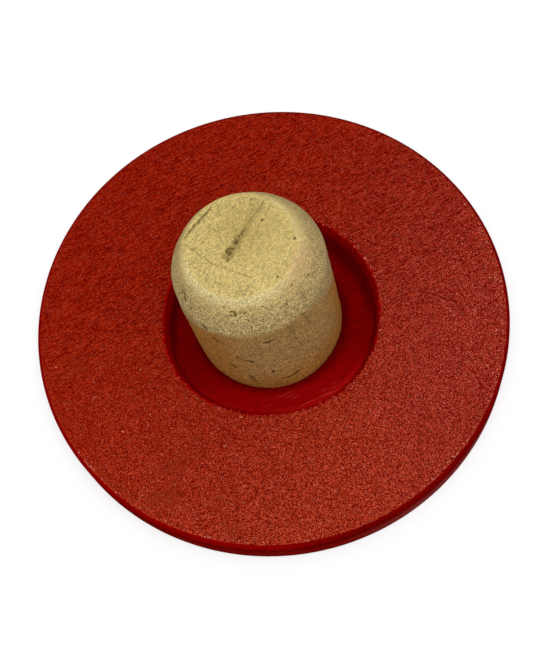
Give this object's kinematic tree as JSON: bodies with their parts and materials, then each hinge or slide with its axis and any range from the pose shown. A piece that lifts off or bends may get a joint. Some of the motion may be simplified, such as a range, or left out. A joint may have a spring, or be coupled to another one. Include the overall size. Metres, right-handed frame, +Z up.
{
  "type": "cork stopper",
  "caption": "Bottle stopper: a wide red painted wooden disc with a shallow round recess, and a bevelled natural cork shank glued upright in it.",
  "frame": {"origin": "centre of the disc's underside, on the surface that the stopper lies on", "axes": "+Z up out of the disc's face, along the shank; the shank leans a little towards -X"},
  "size_m": [0.065, 0.065, 0.0274],
  "materials": {
    "red_paint": "red satin paint over turned wood",
    "natural_cork": "bare natural cork"
  },
  "bodies": {
    "root": {"wooden_disc": "red_paint", "cork_shank": "natural_cork"}
  },
  "joints": []
}
